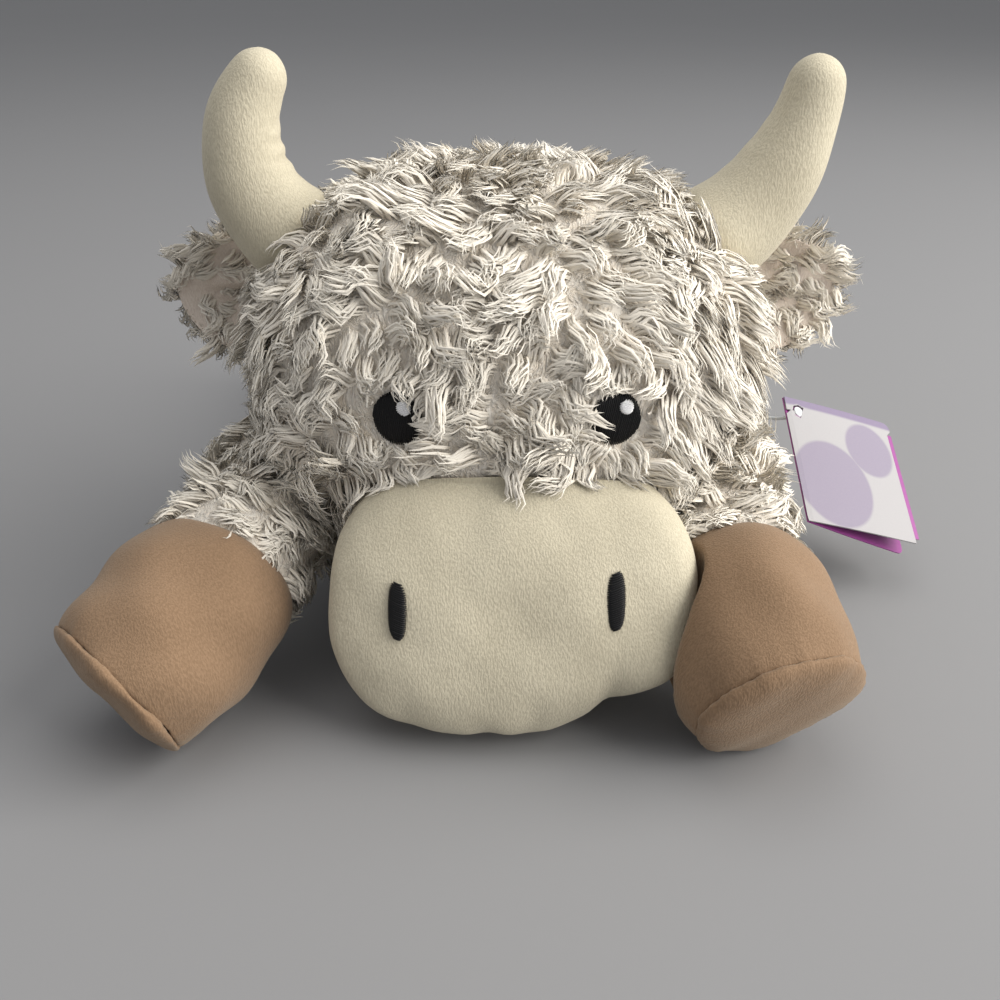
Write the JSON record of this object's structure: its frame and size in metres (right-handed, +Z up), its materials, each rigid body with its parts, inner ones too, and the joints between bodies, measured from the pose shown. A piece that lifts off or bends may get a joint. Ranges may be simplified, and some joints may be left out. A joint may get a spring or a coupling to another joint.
{
  "type": "plush buffalo",
  "caption": "Shaggy cream plush buffalo lying on its belly, with curved velvet horns, a broad velvet muzzle, embroidered eyes and jointed soft legs with tan velvet hooves.",
  "frame": {"origin": "on the table under the chest, below the axis that the head nods about, on the flat belly panel", "axes": "+Z up, -Y the way the toy faces, +X to its own left side"},
  "size_m": [0.3008, 0.3445, 0.1984],
  "materials": {
    "shaggy_fur": "long wavy pile in clumped locks",
    "cream_velvet": "short velvet nap",
    "tan_velvet": "short velvet nap",
    "stuffing": "loose polyester fibre",
    "pouch_linen": "plain weave bag of pellets",
    "black_thread": "satin stitch embroidery",
    "white_thread": "satin stitch embroidery",
    "white_card": "smooth coated card",
    "label_satin": "woven satin ribbon",
    "clear_plastic": "clear moulded nylon"
  },
  "bodies": {
    "trunk": {"trunk_skin": "shaggy_fur", "trunk_stuffing": "stuffing", "bean_pouch": "pouch_linen", "belly_panel": "shaggy_fur", "care_label": "label_satin", "tag_pin": "clear_plastic"},
    "head": {"head_skin": "shaggy_fur", "head_stuffing": "stuffing", "muzzle_skin": "cream_velvet", "muzzle_stuffing": "stuffing", "nostril_left": "black_thread", "nostril_right": "black_thread", "eye_left": "black_thread", "eye_right": "black_thread", "eye_glint_left": "white_thread", "eye_glint_right": "white_thread"},
    "horn_left": {"horn_skin_left": "cream_velvet", "horn_stuffing_left": "stuffing"},
    "horn_right": {"horn_skin_right": "cream_velvet", "horn_stuffing_right": "stuffing"},
    "ear_left": {"ear_back_left": "shaggy_fur", "ear_lining_left": "cream_velvet"},
    "ear_right": {"ear_back_right": "shaggy_fur", "ear_lining_right": "cream_velvet"},
    "foreleg_left": {"foreleg_sleeve_left": "shaggy_fur", "foreleg_hoof_left": "tan_velvet", "foreleg_sole_left": "tan_velvet", "foreleg_stuffing_left": "stuffing"},
    "foreleg_right": {"foreleg_sleeve_right": "shaggy_fur", "foreleg_hoof_right": "tan_velvet", "foreleg_sole_right": "tan_velvet", "foreleg_stuffing_right": "stuffing"},
    "hindleg_left": {"hindleg_sleeve_left": "shaggy_fur", "hindleg_hoof_left": "tan_velvet", "hindleg_sole_left": "tan_velvet", "hindleg_stuffing_left": "stuffing"},
    "hindleg_right": {"hindleg_sleeve_right": "shaggy_fur", "hindleg_hoof_right": "tan_velvet", "hindleg_sole_right": "tan_velvet", "hindleg_stuffing_right": "stuffing"},
    "tail": {"tail_strap": "cream_velvet", "tail_tuft": "shaggy_fur"},
    "tag": {"tag_back_leaf": "white_card"},
    "tag_cover": {"tag_front_leaf": "white_card"}
  },
  "joints": [
    {"name": "head_nod", "type": "hinge", "parent": "trunk", "child": "head", "pos_m": [0, 0, 0.048], "axis": [1, 0, 0], "range_deg": [-14, 0], "stiffness_Nm_per_rad": 2},
    {"name": "foreleg_left_swing", "type": "hinge", "parent": "trunk", "child": "foreleg_left", "pos_m": [0.07444, -0.03342, 0.0614], "axis": [0, 0, 1], "range_deg": [0, 22], "stiffness_Nm_per_rad": 0.5},
    {"name": "hindleg_left_swing", "type": "hinge", "parent": "trunk", "child": "hindleg_left", "pos_m": [0.05431, 0.08461, 0.06153], "axis": [0, 0, 1], "range_deg": [-15, 0], "stiffness_Nm_per_rad": 0.5},
    {"name": "foreleg_right_swing", "type": "hinge", "parent": "trunk", "child": "foreleg_right", "pos_m": [-0.07444, -0.03342, 0.0614], "axis": [0, 0, 1], "range_deg": [-22, 0], "stiffness_Nm_per_rad": 0.5},
    {"name": "hindleg_right_swing", "type": "hinge", "parent": "trunk", "child": "hindleg_right", "pos_m": [-0.05431, 0.08461, 0.06153], "axis": [0, 0, 1], "range_deg": [0, 15], "stiffness_Nm_per_rad": 0.5},
    {"name": "horn_left_swing", "type": "hinge", "parent": "head", "child": "horn_left", "pos_m": [0.06945, -0.05509, 0.14188], "axis": [0, 1, 0], "range_deg": [-8, 8], "stiffness_Nm_per_rad": 0.3},
    {"name": "horn_right_swing", "type": "hinge", "parent": "head", "child": "horn_right", "pos_m": [-0.06945, -0.05509, 0.14188], "axis": [0, 1, 0], "range_deg": [-8, 8], "stiffness_Nm_per_rad": 0.3},
    {"name": "ear_left_swing", "type": "hinge", "parent": "head", "child": "ear_left", "pos_m": [0.07996, -0.02697, 0.11808], "axis": [0, 1, 0], "range_deg": [-3, 20], "stiffness_Nm_per_rad": 0.08},
    {"name": "ear_right_swing", "type": "hinge", "parent": "head", "child": "ear_right", "pos_m": [-0.07996, -0.02697, 0.11808], "axis": [0, 1, 0], "range_deg": [-20, 3], "stiffness_Nm_per_rad": 0.08},
    {"name": "tail_swing", "type": "hinge", "parent": "trunk", "child": "tail", "pos_m": [0, 0.09804, 0.074], "axis": [0, 0, 1], "range_deg": [-20, 20], "stiffness_Nm_per_rad": 0.03},
    {"name": "tag_swing", "type": "hinge", "parent": "trunk", "child": "tag", "pos_m": [0.11692, -0.01095, 0.05883], "axis": [0.5235, -0.4162, 0.7435], "range_deg": [-15, 15]},
    {"name": "tag_open", "type": "hinge", "parent": "tag", "child": "tag_cover", "pos_m": [0.1117, -0.0074, 0.0645], "axis": [0.0188, -0.8667, -0.4984], "range_deg": [-8, 70]}
  ]
}
